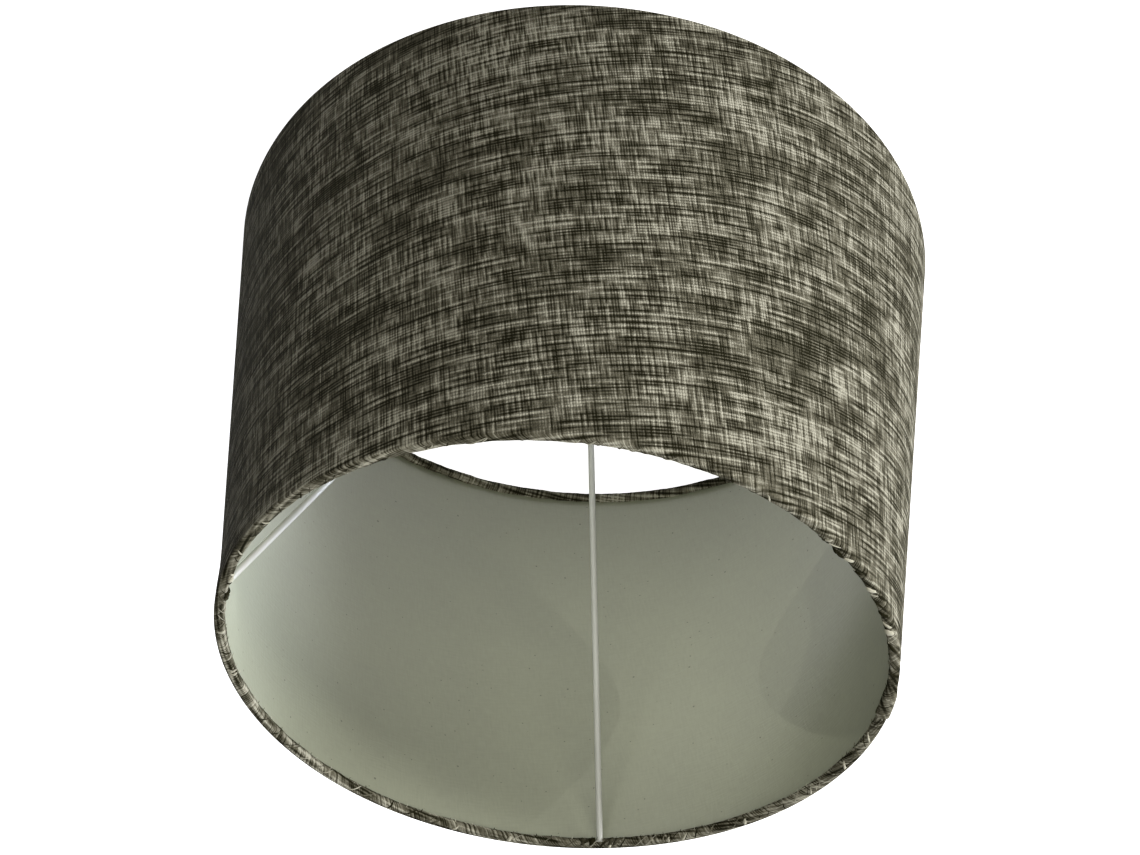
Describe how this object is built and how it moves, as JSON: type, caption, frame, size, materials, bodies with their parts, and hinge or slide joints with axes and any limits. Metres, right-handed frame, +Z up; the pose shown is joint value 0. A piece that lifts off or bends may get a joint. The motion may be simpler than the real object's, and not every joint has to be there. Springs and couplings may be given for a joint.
{
  "type": "lamp shade",
  "caption": "Tapered drum lamp shade of slubbed linen over a stiff lining, with rolled hems on wire rings and wire arms to a dropped fitter ring.",
  "frame": {"origin": "centre of the wide lower edge, on the surface the shade stands on", "axes": "+Z up along the shade's axis to the narrow top edge; the lapped seam is close to -X"},
  "size_m": [0.2998, 0.2998, 0.212],
  "materials": {
    "slub_linen": "coarse slubbed linen, charcoal and ivory threads",
    "grey_liner": "matt, fine woven face",
    "white_enamel": "satin white powder coat"
  },
  "bodies": {
    "root": {"fabric_cover": "slub_linen", "lining_panel": "grey_liner", "top_ring": "white_enamel", "bottom_ring": "white_enamel", "fitter_arm_1": "white_enamel", "fitter_arm_2": "white_enamel", "fitter_arm_3": "white_enamel", "fitter_ring": "white_enamel"}
  },
  "joints": []
}
